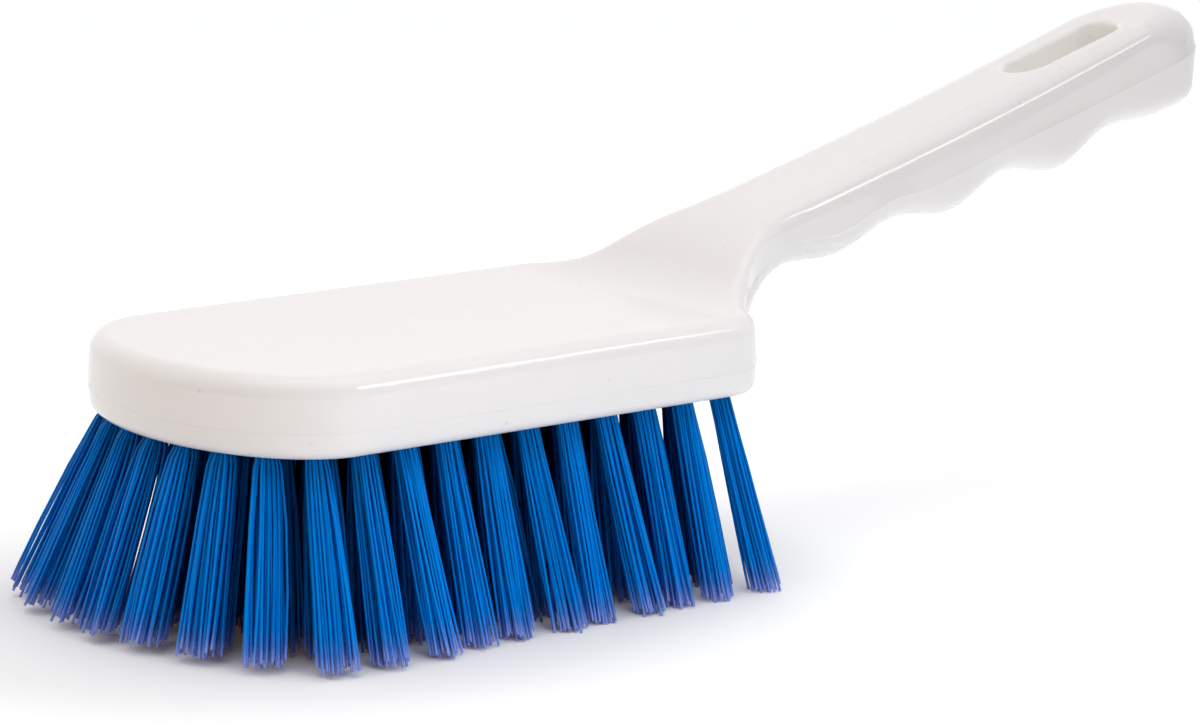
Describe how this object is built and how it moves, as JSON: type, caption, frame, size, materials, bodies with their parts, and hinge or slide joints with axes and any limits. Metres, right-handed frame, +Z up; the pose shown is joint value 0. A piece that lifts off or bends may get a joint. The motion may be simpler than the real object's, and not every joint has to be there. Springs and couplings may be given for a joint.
{
  "type": "hand scrubbing brush",
  "caption": "Hand scrubbing brush: white moulded stock with rounded toe, cranked finger-grip handle and hanging slot, and flared blue bristle tufts held by flat anchors.",
  "frame": {"origin": "on the floor under the middle of the whole brush's box, with the brush standing on its bristle tips", "axes": "+X runs along the brush from the toe to the handle's end, +Y to the left of that and +Z up, square to the block's flat top"},
  "size_m": [0.2742, 0.0953, 0.0966],
  "materials": {
    "stock_plastic": "glossy white moulded plastic",
    "bristle": "blue extruded filament with a soft sheen",
    "anchor_steel": "bare flat steel strip"
  },
  "bodies": {
    "root": {"stock": "stock_plastic", "tufts_toe": "bristle", "tufts_fore": "bristle", "tufts_mid": "bristle", "tufts_heel": "bristle", "anchor_01": "anchor_steel", "anchor_02": "anchor_steel", "anchor_03": "anchor_steel", "anchor_04": "anchor_steel", "anchor_05": "anchor_steel", "anchor_06": "anchor_steel", "anchor_07": "anchor_steel", "anchor_08": "anchor_steel", "anchor_09": "anchor_steel", "anchor_10": "anchor_steel", "anchor_11": "anchor_steel", "anchor_12": "anchor_steel", "anchor_13": "anchor_steel", "anchor_14": "anchor_steel", "anchor_15": "anchor_steel", "anchor_16": "anchor_steel", "anchor_17": "anchor_steel", "anchor_18": "anchor_steel", "anchor_19": "anchor_steel", "anchor_20": "anchor_steel", "anchor_21": "anchor_steel", "anchor_22": "anchor_steel", "anchor_23": "anchor_steel", "anchor_24": "anchor_steel", "anchor_25": "anchor_steel", "anchor_26": "anchor_steel", "anchor_27": "anchor_steel", "anchor_28": "anchor_steel", "anchor_29": "anchor_steel", "anchor_30": "anchor_steel", "anchor_31": "anchor_steel", "anchor_32": "anchor_steel", "anchor_33": "anchor_steel", "anchor_34": "anchor_steel", "anchor_35": "anchor_steel", "anchor_36": "anchor_steel", "anchor_37": "anchor_steel", "anchor_38": "anchor_steel", "anchor_39": "anchor_steel", "anchor_40": "anchor_steel", "anchor_41": "anchor_steel", "anchor_42": "anchor_steel", "anchor_43": "anchor_steel", "anchor_44": "anchor_steel", "anchor_45": "anchor_steel", "anchor_46": "anchor_steel", "anchor_47": "anchor_steel", "anchor_48": "anchor_steel", "anchor_49": "anchor_steel", "anchor_50": "anchor_steel", "anchor_51": "anchor_steel", "anchor_52": "anchor_steel", "anchor_53": "anchor_steel", "anchor_54": "anchor_steel", "anchor_55": "anchor_steel"}
  },
  "joints": []
}
